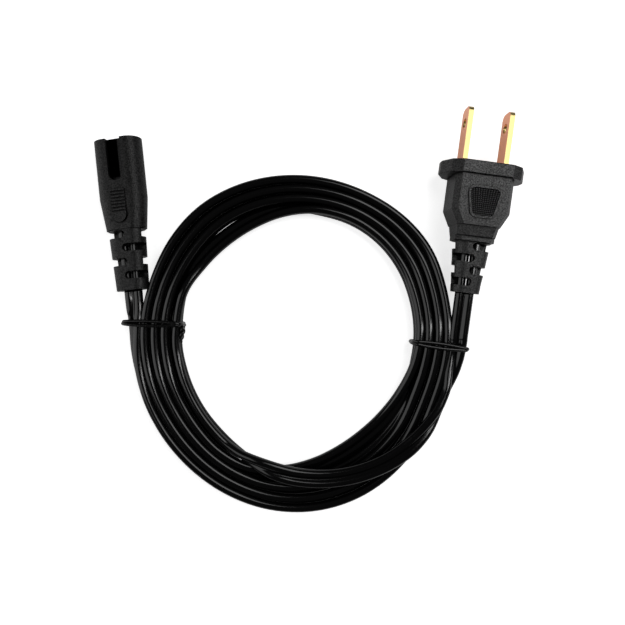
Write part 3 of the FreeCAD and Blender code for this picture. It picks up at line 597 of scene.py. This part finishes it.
def grip_bumps(name, face):
    """Small domes in rows on the shallow field of a grip patch of the plug, in a lighter black as
    painted highlight.
    """
    vertices, faces = [], []
    sides, levels = 8, (0.0, 35.0, 65.0)
    for row in range(PATCH_ROWS):
        y = PATCH_FRONT - row * ROW_STEP
        half = FRONT_HALF - (-y - NARROWS_FROM) * NARROWING
        for column in range(PATCH_COLUMNS):
            if row in (0, PATCH_ROWS - 1) and column in (0, PATCH_COLUMNS - 1):
                continue
            x = half * (2 * column / (PATCH_COLUMNS - 1) - 1)
            base = len(vertices)
            for level in levels:
                shrunk = math.cos(math.radians(level))
                height = DOME_BASE + DOME_HIGH * math.sin(math.radians(level))
                for step in range(sides):
                    turned = 2 * math.pi * step / sides
                    vertices.append((x + DOME_WIDE * shrunk * math.cos(turned),
                                     y + DOME_LONG * shrunk * math.sin(turned), height))
            vertices.append((x, y, DOME_BASE + DOME_HIGH))
            faces += ring_faces(len(levels), sides, base)
            last, top = base + (len(levels) - 1) * sides, base + len(levels) * sides
            faces += [(last + step, last + (step + 1) % sides, top) for step in range(sides)]
    mesh = on_plug(name, vertices, faces, face)
    mesh.polygons.foreach_set("use_smooth", [True] * len(mesh.polygons))
    return add_piece(name, mesh, bump_painted_highlight)


def grip_field(name, face):
    """A thin plate with round corners on the floor between the domes of a grip patch, near black
    with little gloss as painted shade.
    """
    front, end, front_half, end_half, cut = -7.93, -16.07, 4.65, 3.18, 1.25
    corners = [np.array(corner) for corner in ((front_half, front), (-front_half, front),
                                               (-end_half, end), (end_half, end))]
    outline = []
    for number, corner in enumerate(corners):
        ways = [corners[number - 1] - corner, corners[(number + 1) % 4] - corner]
        start, stop = [corner + cut * way / np.linalg.norm(way) for way in ways]
        for t in (0.0, 0.2, 0.4, 0.6, 0.8, 1.0):
            outline.append((1 - t) ** 2 * start + 2 * t * (1 - t) * corner + t ** 2 * stop)
    count = len(outline)
    vertices = [(x, y, height) for height in FIELD_HEIGHTS for x, y in outline]
    faces = end_faces(2, count) + ring_faces(2, count)
    return add_piece(name, on_plug(name, vertices, faces, face), field_painted_shade)


bumps = [grip_bumps("grip_bumps_top", 1), grip_bumps("grip_bumps_under", -1),
         grip_field("grip_field_top", 1), grip_field("grip_field_under", -1)]

# Ground, light and camera, in metres
GROUND_SIZE, GROUND_PLACE = 1.6, (0.05, -0.04, -0.0001)
GLOW_NEAR, GLOW_FAR = (0.16, 0.72), (0.45, 1.0)  # distance, and brightness there
GLOSSY_GLOW = 0.08  # the ground's own brightness in reflections
SOFT_LEVEL = 0.05  # light from all round


def white_ground():
    """Pale ground that keeps the object's shadow and glows to white for the camera."""
    bpy.ops.mesh.primitive_plane_add(size=GROUND_SIZE, location=GROUND_PLACE)
    floor = bpy.context.object
    floor.name = "ground"
    material = new_material("ground_white", (0.86, 0.86, 0.86), 0.9, specular=0.0)
    tree = material.node_tree
    rays = tree.nodes.new("ShaderNodeLightPath")
    place = tree.nodes.new("ShaderNodeTexCoord")
    away = tree.nodes.new("ShaderNodeVectorMath")
    away.operation = "LENGTH"
    tree.links.new(place.outputs["Object"], away.inputs[0])
    seen = ramp(tree, away.outputs["Value"], GLOW_NEAR[0], GLOW_FAR[0],
                GLOW_NEAR[1], GLOW_FAR[1])
    mirrored = tree.nodes.new("ShaderNodeMath")
    mirrored.operation = "MULTIPLY"
    mirrored.inputs[1].default_value = GLOSSY_GLOW
    tree.links.new(rays.outputs["Is Glossy Ray"], mirrored.inputs[0])
    glow = tree.nodes.new("ShaderNodeMath")
    glow.operation = "MULTIPLY_ADD"
    tree.links.new(rays.outputs["Is Camera Ray"], glow.inputs[0])
    tree.links.new(seen, glow.inputs[1])
    tree.links.new(mirrored.outputs[0], glow.inputs[2])
    shader = tree.nodes["Principled BSDF"]
    shader.inputs["Emission Color"].default_value = (1.0, 1.0, 1.0, 1.0)
    tree.links.new(glow.outputs[0], shader.inputs["Emission Strength"])
    floor.data.materials.append(material)


def studio_world():
    """Soft light from all round, and plain white where the camera sees past the ground."""
    world = bpy.data.worlds.new("studio")
    scene.world = world
    world.use_nodes = True
    tree = world.node_tree
    light = tree.nodes["Background"]
    light.inputs["Color"].default_value = (1.0, 1.0, 1.0, 1.0)
    rays = tree.nodes.new("ShaderNodeLightPath")
    seen = tree.nodes.new("ShaderNodeMath")
    seen.operation = "MAXIMUM"
    tree.links.new(rays.outputs["Is Camera Ray"], seen.inputs[0])
    tree.links.new(rays.outputs["Is Transmission Ray"], seen.inputs[1])
    tree.links.new(ramp(tree, seen.outputs[0], 0.0, 1.0, SOFT_LEVEL, 1.0),
                   light.inputs["Strength"])


def softbox(name, place, target, size, power):
    """Rectangular lamp that faces its target, with its power in watts."""
    data = bpy.data.lights.new(name, "AREA")
    data.shape = "RECTANGLE"
    data.size, data.size_y = size
    data.energy = power
    lamp = bpy.data.objects.new(name, data)
    scene.collection.objects.link(lamp)
    lamp.location = place
    aim = Vector(target) - Vector(place)
    lamp.rotation_mode = "QUATERNION"
    lamp.rotation_quaternion = aim.to_track_quat("-Z", "Y")


def camera_above(place, image_up, lens):
    """Camera that looks straight down, with image_up as the way up in the picture."""
    data = bpy.data.cameras.new("camera")
    data.lens = lens
    data.sensor_width = 36.0
    camera = bpy.data.objects.new("camera", data)
    scene.collection.objects.link(camera)
    back = Vector((0.0, 0.0, 1.0))
    up = Vector(image_up).normalized()
    camera.matrix_world = Matrix.Translation(place) @ Matrix(
        (up.cross(back), up, back)).transposed().to_4x4()
    scene.camera = camera


white_ground()
studio_world()
MIDDLE, PLUG_MIDDLE = (0.055, -0.04, 0.004), (0.11, 0.0, 0.01)
softbox("left_softbox", (-0.42, 0.0, 0.24), MIDDLE, (0.40, 0.90), 1.6)
softbox("right_strip", (0.42, -0.06, 0.36), MIDDLE, (0.035, 0.40), 0.5)
softbox("upper_right_softbox", (0.27, 0.14, 0.42), PLUG_MIDDLE, (0.30, 0.30), 0.87)
camera_above((0.05552, -0.03641, 0.170), (0.1023, 0.9948, 0.0), 30.18)
scene.render.resolution_x = 625
scene.render.resolution_y = 625
scene.view_settings.view_transform = "Standard"
